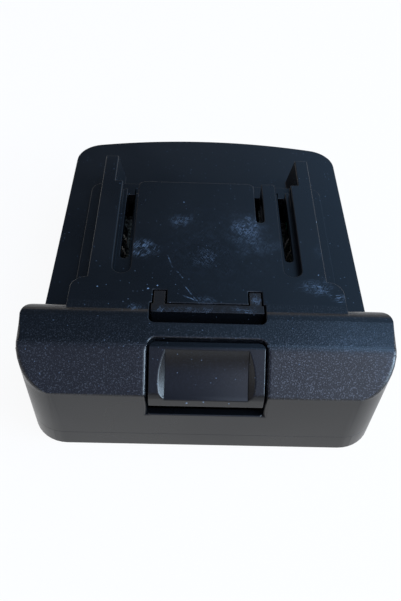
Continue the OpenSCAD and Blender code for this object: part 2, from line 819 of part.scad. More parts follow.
module signal_contacts() {
    reach = signal_w / 2 - seat_gap;
    color("#c9a66b") translate([signal_x, 0, 0]) both_sides()
        block([reach - clip_t, carrier_start + 2 * carrier_t, board_top + carrier_t],
            [reach, carrier_end - 2 * carrier_t, clip_top - carrier_t]);
}

// Insulating block that carries the blades through the socket's closed end
module blade_block() {
    color("#22262b") difference() {
        union() {
            block([-flange_x, block_y - block_t, nose_z - nose_edge],
                [flange_x, block_y, nose_top + nose_edge]);
            block([seat_gap - nose_x, block_y - seat_gap, nose_z + seat_gap],
                [nose_x - seat_gap, socket_y + nose_l, nose_top - seat_gap]);
        }
        for (x = [-blade_x, blade_x, sense_x]) block([x - blade_t / 2, block_y - 2 * block_t, blade_z],
            [x + blade_t / 2, socket_y + block_t, blade_z + blade_h]);
        both_sides() translate([block_screw_x, 0, block_mid]) rotate([-90, 0, 0])
            translate([0, 0, block_y - 2 * block_t]) cylinder(r = small_bore, h = 3 * block_t);
    }
}

// Flat blade with a low solder tab in front of the block
module blade(x) {
    half = blade_t / 2;
    color("#c9a66b") {
        block([x - half, block_y - block_t, blade_z], [x + half, socket_y + blade_l, blade_z + blade_h]);
        block([x - half, tab_y, blade_z], [x + half, block_y, tab_top]);
    }
}

module positive_blade() {
    blade(-blade_x);
}

module negative_blade() {
    blade(blade_x);
}

module temperature_blade() {
    blade(sense_x);
}

// Lead from a blade's tab up and back to the board
module lead(x, d, base) {
    axis_z = base + d / 2 + seat_gap;
    rise = axis_z - lead_bend;
    translate([x, lead_y, tab_top + seat_gap]) cylinder(d = d, h = rise - tab_top - seat_gap);
    translate([x, lead_y + lead_bend, rise]) rotate([90, 0, 90]) rotate([0, 0, 90])
        rotate_extrude(angle = 90) translate([lead_bend, 0]) circle(d = d);
    translate([x, lead_y + lead_bend, axis_z]) rotate([-90, 0, 0])
        cylinder(d = d, h = lead_end - lead_y - lead_bend);
}

module positive_lead() {
    color("#a8231f") lead(-blade_x, lead_d, clip_z);
}

module negative_lead() {
    color("#16181b") lead(blade_x, lead_d, clip_z);
}

module temperature_lead() {
    color("#d9d9d4") lead(sense_x, sense_lead_d, board_top);
}

module block_screws() {
    color("#b9bcc0") both_sides() translate([block_screw_x, block_y - block_t, block_mid])
        rotate([-90, 0, 0]) {
            translate([0, 0, -small_head_h]) cylinder(r = small_head_r, h = small_head_h);
            cylinder(r = small_screw_d / 2, h = block_t + wall);
        }
}

module housing_screws() {
    recess = screw_d / 8;
    color("#8e9196") both_sides() for (spot = screw_spots)
        translate([spot.x, spot.y, screw_sink]) {
            translate([0, 0, -screw_head_h]) difference() {
                cylinder(d = screw_head_d, h = screw_head_h);
                for (turn = [0, 90]) rotate([0, 0, turn])
                    block([-screw_d / 2, -recess, -past], [screw_d / 2, recess, screw_head_h / 2]);
            }
            cylinder(d = screw_d, h = screw_l);
        }
}

upper_housing();
lower_housing();
release_latch();
left_latch_spring();
right_latch_spring();
terminal_board();
board_screws();
positive_clip();
negative_clip();
signal_connector();
signal_contacts();
blade_block();
positive_blade();
negative_blade();
temperature_blade();
positive_lead();
negative_lead();
temperature_lead();
block_screws();
housing_screws();
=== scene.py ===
import math

import bmesh
import bpy
from mathutils import Matrix, Vector


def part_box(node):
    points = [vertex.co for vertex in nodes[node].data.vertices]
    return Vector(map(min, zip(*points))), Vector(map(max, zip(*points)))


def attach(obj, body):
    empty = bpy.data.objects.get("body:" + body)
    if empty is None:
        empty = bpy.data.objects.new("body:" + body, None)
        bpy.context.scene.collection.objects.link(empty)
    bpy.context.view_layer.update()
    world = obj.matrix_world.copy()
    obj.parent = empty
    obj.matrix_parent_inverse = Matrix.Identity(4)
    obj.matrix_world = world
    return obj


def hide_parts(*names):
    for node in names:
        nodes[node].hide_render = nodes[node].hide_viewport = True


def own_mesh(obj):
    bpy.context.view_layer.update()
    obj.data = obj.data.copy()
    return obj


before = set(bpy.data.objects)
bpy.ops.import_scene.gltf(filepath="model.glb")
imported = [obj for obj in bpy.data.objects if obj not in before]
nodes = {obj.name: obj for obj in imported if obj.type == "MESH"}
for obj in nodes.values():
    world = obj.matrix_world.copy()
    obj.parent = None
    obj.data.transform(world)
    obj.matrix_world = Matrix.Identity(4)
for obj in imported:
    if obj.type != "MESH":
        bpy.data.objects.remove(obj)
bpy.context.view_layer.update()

scene = bpy.context.scene
scene.view_settings.view_transform = "Standard"

mm = 0.001

cameraSet = {
    "place": (-5.422 * mm, -137.142 * mm, 155.155 * mm),
    "pitch": 48.416,       # degrees below level
    "yaw": 1.92,
    "roll": 2.866,
    "focalPixels": 666.773,
    "frameTall": 601,
    "sensor": 36.0,
    "clipStart": 0.005,
}


def photoCamera(s):
    a, b, c = (math.radians(s[k]) for k in ("pitch", "yaw", "roll"))
    ahead = Vector((math.sin(b) * math.cos(a), math.cos(b) * math.cos(a), -math.sin(a)))
    right = Vector((math.cos(b), -math.sin(b), 0))
    up = right.cross(ahead)
    camX = math.cos(c) * right + math.sin(c) * up
    camY = -math.sin(c) * right + math.cos(c) * up
    data = bpy.data.cameras.new("photoCamera")
    data.sensor_fit = "VERTICAL"
    data.sensor_height = s["sensor"]
    data.lens = s["focalPixels"] * s["sensor"] / s["frameTall"]
    data.clip_start = s["clipStart"]
    camera = bpy.data.objects.new("photoCamera", data)
    scene.collection.objects.link(camera)
    turn = Matrix((camX, camY, -ahead)).transposed()
    camera.matrix_world = Matrix.Translation(s["place"]) @ turn.to_4x4()
    scene.camera = camera


photoCamera(cameraSet)


def add(tree, kind, inputs=None, **settings):
    made = tree.nodes.new(kind)
    for key, value in settings.items():
        setattr(made, key, value)
    for key, value in (inputs or {}).items():
        if isinstance(value, bpy.types.NodeSocket):
            tree.links.new(value, made.inputs[key])
        else:
            made.inputs[key].default_value = value
    return made


def calc(tree, operation, a, b=0.0, c=0.0, clamp=False):
    return add(tree, "ShaderNodeMath", {0: a, 1: b, 2: c}, operation=operation, use_clamp=clamp).outputs[0]


def blendColour(tree, share, a, b):
    made = add(tree, "ShaderNodeMix", {0: share, 6: a, 7: b}, data_type="RGBA")
    return made.outputs[2]


def remap(tree, value, low, high, toLow=0.0, toHigh=1.0):
    made = add(tree, "ShaderNodeMapRange", {0: value, 1: low, 2: high, 3: toLow, 4: toHigh})
    made.interpolation_type = "SMOOTHSTEP"
    return made.outputs[0]


floorSet = {
    "half": 2.0,
    "colour": (0.86, 0.86, 0.85, 1),
    "whiteShare": 0.93,     # share of plain white that the camera and reflections see
}


def studioFloor(s):
    h = s["half"]
    mesh = bpy.data.meshes.new("studioFloor")
    mesh.from_pydata([(-h, -h, 0), (h, -h, 0), (h, h, 0), (-h, h, 0)], [], [(0, 1, 2, 3)])
    floor = bpy.data.objects.new("studioFloor", mesh)
    scene.collection.objects.link(floor)
    mat = bpy.data.materials.new("paleFloor")
    mat.use_nodes = True
    tree = mat.node_tree
    tree.nodes.clear()
    out = add(tree, "ShaderNodeOutputMaterial")
    matte = add(tree, "ShaderNodeBsdfDiffuse", {"Color": s["colour"]})
    white = add(tree, "ShaderNodeEmission", {"Color": (1, 1, 1, 1), "Strength": 1.0})
    path = add(tree, "ShaderNodeLightPath")
    seen = calc(tree, "MAXIMUM", path.outputs["Is Camera Ray"], path.outputs["Is Glossy Ray"])
    seen = calc(tree, "MAXIMUM", seen, path.outputs["Is Transmission Ray"])
    share = calc(tree, "MULTIPLY", seen, s["whiteShare"])
    both = add(tree, "ShaderNodeMixShader", {0: share, 1: matte.outputs[0], 2: white.outputs[0]})
    clear = add(tree, "ShaderNodeBsdfTransparent")
    side = add(tree, "ShaderNodeNewGeometry")
    both = add(tree, "ShaderNodeMixShader", {0: side.outputs["Backfacing"], 1: both.outputs[0],
                                             2: clear.outputs[0]})
    tree.links.new(both.outputs[0], out.inputs["Surface"])
    mesh.materials.append(mat)


studioFloor(floorSet)

roomSet = {
    "backLeft": (0.080, 0.110, 0.158, 1),
    "backRight": (0.32, 0.56, 0.92, 1),
    "frontLeft": (0.40, 0.46, 0.70, 1),
    "frontRight": (1.85, 2.10, 2.75, 1),
    "skylight": (1.95, 3.30, 5.30, 1),
    "skylightWay": (0.46, 0.02, 0.887),
    "level": (0.48, 0.45, 0.44, 1),
    "backTurn": (-0.10, 0.38),       # X of the way where left goes over into right, behind the part
    "frontTurn": (0.02, 0.28),       # the same in front of it
    "frontToBack": (-0.75, 0.40),    # Y of the way
    "skylightEdge": (0.93, 0.985),   # cosine to the skylight's way
    "levelReach": (0.15, 0.46),      # Z of the way
}


def studioRoom(s):
    world = bpy.data.worlds.new("studioRoom")
    world.use_nodes = True
    tree = world.node_tree
    tree.nodes.clear()
    out = add(tree, "ShaderNodeOutputWorld")
    coords = add(tree, "ShaderNodeTexCoord")
    parts = add(tree, "ShaderNodeSeparateXYZ", {0: coords.outputs["Generated"]})
    turn = remap(tree, parts.outputs["X"], *s["backTurn"])
    behind = blendColour(tree, turn, s["backLeft"], s["backRight"])
    turn = remap(tree, parts.outputs["X"], *s["frontTurn"])
    ahead = blendColour(tree, turn, s["frontLeft"], s["frontRight"])
    around = blendColour(tree, remap(tree, parts.outputs["Y"], *s["frontToBack"]), ahead, behind)
    way = add(tree, "ShaderNodeVectorMath", {0: coords.outputs["Generated"], 1: s["skylightWay"]},
              operation="DOT_PRODUCT").outputs["Value"]
    around = blendColour(tree, remap(tree, way, *s["skylightEdge"]), around, s["skylight"])
    height = remap(tree, parts.outputs["Z"], *s["levelReach"])
    colour = blendColour(tree, height, s["level"], around)
    path = add(tree, "ShaderNodeLightPath")
    colour = blendColour(tree, path.outputs["Is Camera Ray"], colour, (1, 1, 1, 1))
    light = add(tree, "ShaderNodeBackground", {"Color": colour, "Strength": 1.0})
    tree.links.new(light.outputs[0], out.inputs["Surface"])
    scene.world = world


studioRoom(roomSet)

lampSet = {
    "windowLamp": {"place": (0.68, -0.26, 0.20), "size": (0.46, 0.34), "power": 8.0,
                   "colour": (0.60, 0.80, 1.0), "aim": (0, -10 * mm, 15 * mm)},
}


def softLamps(s):
    for name, one in s.items():
        data = bpy.data.lights.new(name, "AREA")
        data.shape = "RECTANGLE"
        data.size, data.size_y = one["size"]
        data.energy = one["power"]
        data.color = one["colour"]
        lamp = bpy.data.objects.new(name, data)
        scene.collection.objects.link(lamp)
        lamp.location = one["place"]
        lamp.rotation_euler = (Vector(one["aim"]) - lamp.location).to_track_quat("-Z", "Y").to_euler()


softLamps(lampSet)
print("stage: camera, floor, room and", len(lampSet), "soft lamps")


def freshMaterial(name):
    mat = bpy.data.materials.new(name)
    mat.use_nodes = True
    tree = mat.node_tree
    tree.nodes.clear()
    out = add(tree, "ShaderNodeOutputMaterial")
    shader = add(tree, "ShaderNodeBsdfPrincipled")
    tree.links.new(shader.outputs["BSDF"], out.inputs["Surface"])
    coords = add(tree, "ShaderNodeTexCoord")
    return mat, tree, shader, coords.outputs["Object"]


noiseSpan = (0.3, 0.7)     # most of a noise's values lie here


def noise(tree, where, scale, detail=2.0, roughness=0.5):
    return add(tree, "ShaderNodeTexNoise", {"Vector": where, "Scale": scale, "Detail": detail,
                                            "Roughness": roughness}).outputs[0]


# coordinates turned and stretched about one point, in units of the given sizes in mm
def laidOver(tree, where, centre, turn, sizes):
    laid = add(tree, "ShaderNodeMapping", {"Vector": where, "Location": tuple(v * mm for v in centre),
                                           "Rotation": (0, 0, math.radians(turn)),
                                           "Scale": tuple(v * mm for v in sizes)}, vector_type="TEXTURE")
    return laid.outputs[0]


# soft oval patch about one point
def patch(tree, where, centre, turn, sizes, edge=1.0, core=0.1):
    spot = laidOver(tree, where, centre, turn, sizes)
    far = add(tree, "ShaderNodeVectorMath", {0: spot}, operation="LENGTH").outputs["Value"]
    return remap(tree, far, edge, core)


# short hairline strokes that run in one direction, one to a cell
def strokes(tree, where, turn, s):
    laid = laidOver(tree, where, (0, 0, 0), turn, (s["length"], s["apart"], 1))
    cells = add(tree, "ShaderNodeTexVoronoi", {"Vector": laid, "Scale": 1.0}, voronoi_dimensions="2D")
    off = add(tree, "ShaderNodeVectorMath", {0: laid, 1: cells.outputs["Position"]}, operation="SUBTRACT")
    off = add(tree, "ShaderNodeSeparateXYZ", {0: off.outputs[0]})
    along = remap(tree, calc(tree, "ABSOLUTE", off.outputs[0]), *s["ends"])
    across = remap(tree, calc(tree, "ABSOLUTE", off.outputs[1]), s["thick"], s["thick"] * s["core"])
    pick = add(tree, "ShaderNodeSeparateColor", {0: cells.outputs["Color"]}).outputs[0]
    pick = remap(tree, pick, *s["pick"])
    return calc(tree, "MULTIPLY", calc(tree, "MULTIPLY", along, across), pick)


# nearness to a straight run between two points, in mm
def alongRun(tree, where, a, b, reach):
    a, b = Vector(a) * mm, Vector(b) * mm
    run = b - a
    off = add(tree, "ShaderNodeVectorMath", {0: where, 1: a}, operation="SUBTRACT").outputs[0]
    share = add(tree, "ShaderNodeVectorMath", {0: off, 1: run / run.length_squared}, operation="DOT_PRODUCT")
    share = calc(tree, "MULTIPLY", share.outputs["Value"], 1.0, clamp=True)
    near = add(tree, "ShaderNodeVectorMath", {0: run, "Scale": share}, operation="SCALE").outputs[0]
    far = add(tree, "ShaderNodeVectorMath", {0: off, 1: near}, operation="DISTANCE").outputs["Value"]
    return remap(tree, far, reach * mm, 0.0)


def speck(tree, where, centre, size, core=0.4):
    far = add(tree, "ShaderNodeVectorMath", {0: where, 1: tuple(v * mm for v in centre)},
              operation="DISTANCE").outputs["Value"]
    return remap(tree, far, size * mm, size * core * mm)


# coordinates that noise moves about by up to half of the reach in mm
def strayed(tree, where, scale, detail, reach):
    shift = add(tree, "ShaderNodeTexNoise", {"Vector": where, "Scale": scale, "Detail": detail})
    shift = add(tree, "ShaderNodeVectorMath", {0: shift.outputs["Color"], 1: (0.5, 0.5, 0.5)},
                operation="SUBTRACT").outputs[0]
    return add(tree, "ShaderNodeVectorMath", {0: shift, 1: tuple(v * mm for v in reach), 2: where},
               operation="MULTIPLY_ADD").outputs[0]


def dustSpecks(tree, where, s):
    cells = add(tree, "ShaderNodeTexVoronoi", {"Vector": where, "Scale": 1000 / s["apart"]})
    dust = remap(tree, cells.outputs["Distance"], s["size"], s["size"] * s["core"])
    pick = add(tree, "ShaderNodeSeparateColor", {0: cells.outputs["Color"]}).outputs[0]
    return calc(tree, "MULTIPLY", dust, remap(tree, pick, *s["pick"], 0.0, s["share"]))


def faceWay(tree):
    flat = add(tree, "ShaderNodeNewGeometry").outputs["True Normal"]
    return add(tree, "ShaderNodeSeparateXYZ", {0: flat}).outputs


plasticSet = {
    "dark": (0.0016, 0.0020, 0.0026, 1),
    "light": (0.0032, 0.0041, 0.0054, 1),
    # colour of scuffs, specks and dust, and of the bluish sheen painted on the head's right end
    "scuffAndSheenColour": (0.20, 0.265, 0.35, 1),
    "ior": 1.47,
    "roughness": (0.26, 0.36),
    "headRoughness": 0.29,
    "grainSize": 0.34,           # mm
    "grainDepth": 0.010,         # mm
    "headDepth": 0.034,          # mm, on the head's grained faces
    # painted glints: the head's grain tops are lightened in the base colour, standing in for the lamp
    # catching them
    "paintedGlintColour": (0.064, 0.065, 0.072, 1),
    "paintedGlintSpread": (0.55, 1.10),     # painted glint share, from the head's left end to its right
    "glintFrom": (0.52, 0.70),         # grain heights where glints are painted
    "glintRise": (-33, -46, 0.32),     # Y in mm from where to where the painted glints grow, and their share at first
    "glintSpan": (-30, 30),            # X in mm that paintedGlintSpread is laid over
    "headBack": (-28.2, -29.2),        # Y in mm where the head's finish begins
    "headFoot": (21.6, 23.0),          # Z in mm where it begins
    "toneScale": 60, "roughScale": 35,
    "hair": {"length": 1.7, "apart": 0.30, "thick": 0.20, "wander": 1.0, "wanderScale": 260.0,
             "ends": (0.50, 0.25), "core": 0.3, "pick": (0.30, 0.75)},
    "dust": {"apart": 1.15, "size": 0.16, "core": 0.4, "share": 0.40,    # cells in mm, size as a share of one
             "pick": (0.62, 0.95), "above": (22, 24)},                   # Z in mm
    "haze": {"scale": 900, "range": (0.38, 0.66)},
    "uneven": {"scale": 320, "range": (0.36, 0.58), "least": 0.4},
    "loose": {"scale": 190.0, "reach": 6},     # how far a scuff's outline strays, in mm
    "raggedRange": (0.36, 0.62),
    "topFacing": (0.80, 0.90),                 # Z of the normal where the lean shows
    "turns": (62, -52, 8),       # directions of the three sets of strokes, in degrees
    "scuffsAndSheen": [                  # centre in mm, reach in mm, turn, strength of each set of strokes, haze
        ((10.8, -0.2, 32), (6.5, 7.5, 4), 20, (0.9, 0.8, 0.5), 0.10),
        ((12.0, -6.5, 32), (9.0, 7.0, 4), -20, (0.35, 0.3, 0.3), 0.035),
        ((-17.0, -10.4, 32), (5.2, 4.8, 4), 0, (1.0, 0.30, 0.0), 0.02),
        ((-6.8, 1.1, 32), (5.0, 3.6, 4), 20, (0.5, 0.2, 0.3), 0.012),
        ((-0.7, -13.0, 32), (5.0, 4.0, 4), 0, (0.3, 0.45, 0.1), 0.010),
        ((-0.5, -28.0, 32), (4.6, 2.6, 4), 0, (0.2, 0.6, 0.3), 0.010),
        ((3.0, -8.0, 32), (24.0, 26.0, 4), 0, (0.07, 0.06, 0.04), 0.0),
        ((28.0, -22.5, 32), (6.5, 3.6, 4), 0, (0.5, 0.3, 0.8), 0.055),
        ((32.5, -26.6, 32), (4.0, 2.2, 4), -15, (0.2, 0.3, 1.0), 0.02),
        ((33.0, -9.5, 32), (5.0, 7.0, 4), 0, (0.2, 0.2, 0.3), 0.03),
        ((-17.6, -31.0, 32), (2.4, 1.8, 3), 0, (0.7, 0.3, 0.2), 0.015),
        # the last two lay a faint bluish haze over the head's right end: painted sheen, with faint scuff
        # lines in it
        ((35.0, -37.5, 31), (13.0, 8.0, 6), 0, (0.10, 0.08, 0.14), 0.05),
        ((43.0, -43.5, 27), (6.0, 7.0, 7), 0, (0.16, 0.12, 0.20), 0.05),
    ],
    "drag": [((-10.6, -12.4, 32), (-8.6, -17.6, 32)), ((-8.6, -17.6, 32), (-6.4, -20.4, 32)),
             ((-6.0, -22.8, 32), (-2.6, -28.2, 32)), ((-7.4, -25.6, 32), (-2.6, -28.2, 32))],
    "dragReach": 0.24,
    "dragShare": 0.55,
    "lean": (-33.5, -31.1, 0.29),     # strip in Y that rolls back to the ridge's rear edge, and its slope
    "specks": [((-14.9, -24.3, 32), 0.32), ((-12.6, -23.2, 32), 0.26), ((-6.6, 9.2, 32), 0.2),
               ((30.4, 2.3, 32), 0.22), ((24.3, -15.9, 32), 0.2), ((28.6, -18.2, 32), 0.2),
               ((-27.6, -24.0, 32), 0.2), ((13.2, -50.2, 5.8), 0.22), ((15.4, -50.2, 5.4), 0.2),
               ((9.4, -50.2, 5.7), 0.16), ((-31.2, -50.2, 5.6), 0.2), ((18.6, -50.2, 9.6), 0.18),
               ((-21.5, -50.2, 11.4), 0.14)],
}


def mouldedPlastic(name, s):
    mat, tree, shader, where = freshMaterial(name)
    tone = noise(tree, where, s["toneScale"], 4, 0.6)
    colour = blendColour(tree, tone, s["dark"], s["light"])
    grain = noise(tree, where, 1000 / s["grainSize"], 1.5, 0.6)
    parts = add(tree, "ShaderNodeSeparateXYZ", {0: where})
    inMm = {axis: calc(tree, "MULTIPLY", parts.outputs[axis], 1 / mm) for axis in "XYZ"}
    onHead = remap(tree, inMm["Y"], *s["headBack"])
    onHead = calc(tree, "MULTIPLY", onHead, remap(tree, inMm["Z"], *s["headFoot"]))
    depth = remap(tree, onHead, 0, 1, s["grainDepth"] * mm, s["headDepth"] * mm)
    # painted glints: grain tops on the head lightened, more towards the right end and down the slope, where
    # the lamp would catch them
    paintedGrainGlint = calc(tree, "MULTIPLY", remap(tree, grain, *s["glintFrom"]), onHead)
    paintedGrainGlint = calc(tree, "MULTIPLY", paintedGrainGlint, remap(tree, inMm["Y"], *s["glintRise"], 1.0))
    paintedGrainGlint = calc(tree, "MULTIPLY", paintedGrainGlint, remap(tree, inMm["X"], *s["glintSpan"], *s["paintedGlintSpread"]))
    colour = blendColour(tree, paintedGrainGlint, colour, s["paintedGlintColour"])

    # scuffs: three sets of wandering hairlines, shown where the part was rubbed; on the head's right end a
    # bluish haze painted as sheen
    hair, stray = s["hair"], s["loose"]["reach"]
    bent = strayed(tree, where, hair["wanderScale"], 1.0, (hair["wander"],) * 3)
    loose = strayed(tree, where, s["loose"]["scale"], 2.0, (stray, stray, 0))
    sets = [strokes(tree, bent, turn, hair) for turn in s["turns"]]
    cloud = remap(tree, noise(tree, where, s["haze"]["scale"], 4, 0.7), *s["haze"]["range"])
    uneven = remap(tree, noise(tree, where, s["uneven"]["scale"], 3), *s["uneven"]["range"],
                   s["uneven"]["least"], 1.0)
    wearAndSheen = None
    for centre, sizes, turn, shares, haze in s["scuffsAndSheen"]:
        lines = calc(tree, "MULTIPLY", cloud, haze)
        for share, lineSet in zip(shares, sets):
            lines = calc(tree, "MAXIMUM", lines, calc(tree, "MULTIPLY", lineSet, share))
        shown = calc(tree, "MULTIPLY", patch(tree, loose, centre, turn, sizes), uneven)
        lines = calc(tree, "MULTIPLY", lines, shown)
        wearAndSheen = lines if wearAndSheen is None else calc(tree, "MAXIMUM", wearAndSheen, lines)
    ragged = remap(tree, noise(tree, where, s["haze"]["scale"], 4), *s["raggedRange"], 0.0, s["dragShare"])
    for a, b in s["drag"]:
        line = alongRun(tree, bent, a, b, s["dragReach"])
        wearAndSheen = calc(tree, "MAXIMUM", wearAndSheen, calc(tree, "MULTIPLY", line, ragged))
    for centre, size in s["specks"]:
        wearAndSheen = calc(tree, "MAXIMUM", wearAndSheen, speck(tree, where, centre, size))
    wearAndSheen = calc(tree, "MAXIMUM", wearAndSheen, calc(tree, "MULTIPLY", dustSpecks(tree, where, s["dust"]),
                                            remap(tree, inMm["Z"], *s["dust"]["above"])))
    colour = blendColour(tree, wearAndSheen, colour, s["scuffAndSheenColour"])
    tree.links.new(colour, shader.inputs["Base Color"])

    rough = remap(tree, noise(tree, where, s["roughScale"], 3), *noiseSpan, *s["roughness"])
    rough = add(tree, "ShaderNodeMix", {0: onHead, 2: rough, 3: s["headRoughness"]}).outputs[0]
    tree.links.new(rough, shader.inputs["Roughness"])
    start, end, slope = s["lean"]
    rolled = add(tree, "ShaderNodeMapRange", {0: inMm["Y"], 1: start, 2: end, 3: 0.0,
                                              4: (start - end) * slope * mm}).outputs[0]
    rolled = calc(tree, "MULTIPLY", rolled, remap(tree, faceWay(tree)["Z"], *s["topFacing"]))
    height = calc(tree, "MULTIPLY_ADD", grain, depth, rolled)
    bump = add(tree, "ShaderNodeBump", {"Height": height, "Strength": 1.0, "Distance": 1.0})
    tree.links.new(bump.outputs[0], shader.inputs["Normal"])
    shader.inputs["IOR"].default_value = s["ior"]
    return mat


housingPlastic = mouldedPlastic("housingPlastic", plasticSet)

latchSet = dict(plasticSet)
latchSet.update({
    "ior": 1.42,
    "roughness": (0.22, 0.30),
    "headRoughness": 0.25,
    "grainDepth": 0.004,
    "headDepth": 0.006,
    "paintedGlintColour": (0.010, 0.011, 0.014, 1),
    "scuffsAndSheen": [((-4, -31.4, 32), (12.0, 1.8, 0.5), 0, (0.25, 0.25, 0.25), 0.02),
               ((9, -31.0, 32), (5.0, 1.8, 0.5), 0, (0.3, 0.3, 0.6), 0.05),
               ((11.6, -27.6, 32), (2.0, 2.8, 0.5), 0, (0.7, 0.5, 0.8), 0.05),
               ((-11.5, -31.6, 32), (2.2, 1.6, 0.5), 0, (0.8, 0.4, 0.3), 0.06)],
    "drag": [],
    "lean": (-34.5, -24.0, 0.23),
    "specks": [((-4.6, -50, 19.9), 0.3), ((-0.6, -50, 20.5), 0.25), ((5.5, -50, 20.0), 0.18)],
})
latchPlastic = mouldedPlastic("latchPlastic", latchSet)


metalSet = {
    # clipMetal: its dark colour is near black and covers most of it, painted shade of the deep slits as well
    # as tarnish
    "clipMetal": {"colour": (0.34, 0.30, 0.23, 1), "tarnishAndShade": (0.030, 0.026, 0.020, 1),
                  "roughness": (0.22, 0.4), "clean": 0.34,
                  # bright ends facing -Y: painted glints, partly bare sheared metal
                  "paintedGlintEnds": {"colour": (0.85, 0.76, 0.60, 1), "roughness": 0.7}},
    "contactBrass": {"colour": (0.60, 0.47, 0.27, 1), "tarnishAndShade": (0.30, 0.20, 0.10, 1),
                     "roughness": (0.22, 0.4)},
    "springSteel": {"colour": (0.56, 0.57, 0.58, 1), "tarnishAndShade": (0.36, 0.35, 0.34, 1),
                    "roughness": (0.2, 0.34)},
    "screwSteel": {"colour": (0.50, 0.50, 0.51, 1), "tarnishAndShade": (0.30, 0.30, 0.30, 1),
                   "roughness": (0.26, 0.42)},
}

metalGrain = {
    "stainScale": 900, "stainEnd": 0.68, "clean": 0.42, "roughScale": 1400,
    "lineScale": (9000, 900, 9000), "lineDepth": 0.01, "lineShare": 0.3,
    "paintedGlintFacing": (-0.6, -0.9),      # Y of the normal on sheet ends facing -Y, which get painted glints
}


def wornMetal(name, s, g):
    mat, tree, shader, where = freshMaterial(name)
    darkShare = noise(tree, where, g["stainScale"], 4, 0.6)
    darkShare = remap(tree, darkShare, s.get("clean", g["clean"]), g["stainEnd"])
    colour = blendColour(tree, darkShare, s["colour"], s["tarnishAndShade"])
    shader.inputs["Metallic"].default_value = 1.0
    rough = remap(tree, noise(tree, where, g["roughScale"], 3), *noiseSpan, *s["roughness"])
    # sheet ends facing -Y get a bright colour: painted glints, partly bare sheared metal
    if "paintedGlintEnds" in s:
        paintedEnds = remap(tree, faceWay(tree)["Y"], *g["paintedGlintFacing"])
        colour = blendColour(tree, paintedEnds, colour, s["paintedGlintEnds"]["colour"])
        rough = add(tree, "ShaderNodeMix", {0: paintedEnds, 2: rough, 3: s["paintedGlintEnds"]["roughness"]}).outputs[0]
    tree.links.new(colour, shader.inputs["Base Color"])
    tree.links.new(rough, shader.inputs["Roughness"])
    lines = add(tree, "ShaderNodeMapping", {"Vector": where, "Scale": g["lineScale"]}).outputs[0]
    bump = add(tree, "ShaderNodeBump", {"Height": noise(tree, lines, 1.0), "Strength": g["lineShare"],
                                        "Distance": g["lineDepth"] * mm})
    tree.links.new(bump.outputs[0], shader.inputs["Normal"])
    return mat


metals = {name: wornMetal(name, s, metalGrain) for name, s in metalSet.items()}

softSet = {
    "carrierPlastic": {"dark": (0.055, 0.050, 0.040, 1), "light": (0.08, 0.072, 0.058, 1),
                       "roughness": (0.4, 0.55)},
    "blockPlastic": {"dark": (0.012, 0.013, 0.014, 1), "light": (0.02, 0.021, 0.022, 1),
                     "roughness": (0.4, 0.55)},
    "leadRed": {"dark": (0.32, 0.018, 0.014, 1), "light": (0.42, 0.03, 0.024, 1),
                "roughness": (0.38, 0.5)},
    "leadBlack": {"dark": (0.010, 0.010, 0.011, 1), "light": (0.018, 0.018, 0.019, 1),
                  "roughness": (0.4, 0.52)},
    "leadWhite": {"dark": (0.62, 0.61, 0.57, 1), "light": (0.72, 0.71, 0.68, 1),
                  "roughness": (0.4, 0.52)},
}

softGrain = {
    "toneScale": 500, "toneRange": (0.35, 0.65), "roughScale": 800,
    "grainScale": 5000, "grainDepth": 0.015, "grainShare": 0.5,
}


def plainPlastic(name, s, g):
    mat, tree, shader, where = freshMaterial(name)
    tone = remap(tree, noise(tree, where, g["toneScale"], 4, 0.6), *g["toneRange"])
    tree.links.new(blendColour(tree, tone, s["dark"], s["light"]), shader.inputs["Base Color"])
    rough = remap(tree, noise(tree, where, g["roughScale"], 3), *noiseSpan, *s["roughness"])
    tree.links.new(rough, shader.inputs["Roughness"])
    bump = add(tree, "ShaderNodeBump", {"Height": noise(tree, where, g["grainScale"], 2),
                                        "Strength": g["grainShare"], "Distance": g["grainDepth"] * mm})
    tree.links.new(bump.outputs[0], shader.inputs["Normal"])
    return mat


softs = {name: plainPlastic(name, s, softGrain) for name, s in softSet.items()}

boardSet = {
    "mask": (0.012, 0.085, 0.040, 1),
    "trace": (0.022, 0.135, 0.062, 1),
    "traceStep": 2.4,      # mm
    "traceEdge": (0.30, 0.36),
    "weaveScale": 900.0, "weaveBend": 0.4, "weaveShare": 0.12,
    "roughScale": 700, "roughness": (0.26, 0.4),
    "depth": 0.03, "depthShare": 0.6,
}


def boardLaminate(s):
    mat, tree, shader, where = freshMaterial("boardLaminate")
    cells = add(tree, "ShaderNodeTexVoronoi", {"Vector": where, "Scale": 1000 / s["traceStep"]},
                distance="CHEBYCHEV", feature="F1")
    lines = remap(tree, cells.outputs["Distance"], *s["traceEdge"])
    weave = add(tree, "ShaderNodeTexWave", {"Vector": where, "Scale": s["weaveScale"],
                                            "Distortion": s["weaveBend"]})
    colour = blendColour(tree, lines, s["mask"], s["trace"])
    tree.links.new(colour, shader.inputs["Base Color"])
    rough = remap(tree, noise(tree, where, s["roughScale"], 3), *noiseSpan, *s["roughness"])
    tree.links.new(rough, shader.inputs["Roughness"])
    weave = calc(tree, "MULTIPLY", weave.outputs["Fac"], s["weaveShare"])
    height = calc(tree, "ADD", lines, weave)
    bump = add(tree, "ShaderNodeBump", {"Height": height, "Strength": s["depthShare"],
                                        "Distance": s["depth"] * mm})
    tree.links.new(bump.outputs[0], shader.inputs["Normal"])
    return mat


laminate = boardLaminate(boardSet)
print("finishes:", len(bpy.data.materials), "materials")

